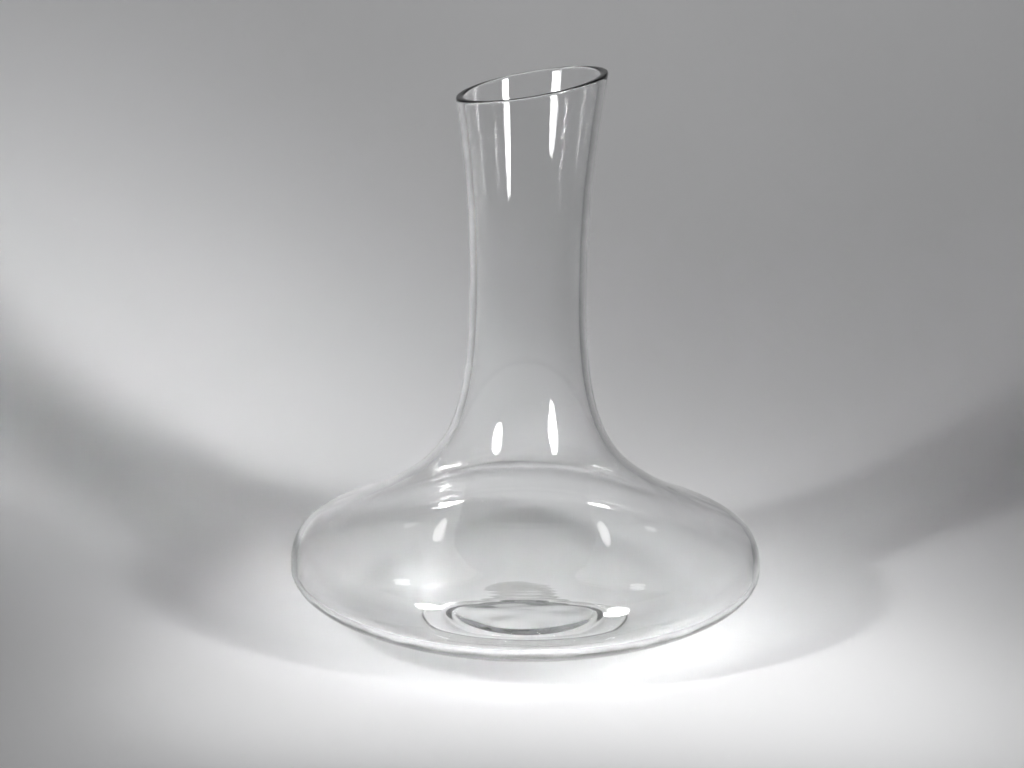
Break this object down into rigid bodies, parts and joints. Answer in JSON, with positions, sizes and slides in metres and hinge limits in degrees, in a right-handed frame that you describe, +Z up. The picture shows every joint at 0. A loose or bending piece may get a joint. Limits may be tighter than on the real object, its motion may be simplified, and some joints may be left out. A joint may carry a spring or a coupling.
{
  "type": "wine decanter",
  "caption": "Clear blown-glass decanter with a wide low bowl, a tall waisted neck, a slanted ground mouth and a flat foot ring round a shallow punt.",
  "frame": {"origin": "on the vessel's axis, in the plane its foot ring stands on", "axes": "+Z up along the vessel's axis; +X towards the high side of the slanted mouth; +Y completes the right-handed set, and the vessel is the same on both sides of the XZ plane"},
  "size_m": [0.2, 0.2, 0.2387],
  "materials": {
    "clear_glass": "clear colourless glass, fire-polished, refractive index 1.51"
  },
  "bodies": {
    "root": {"glass_vessel": "clear_glass"}
  },
  "joints": []
}
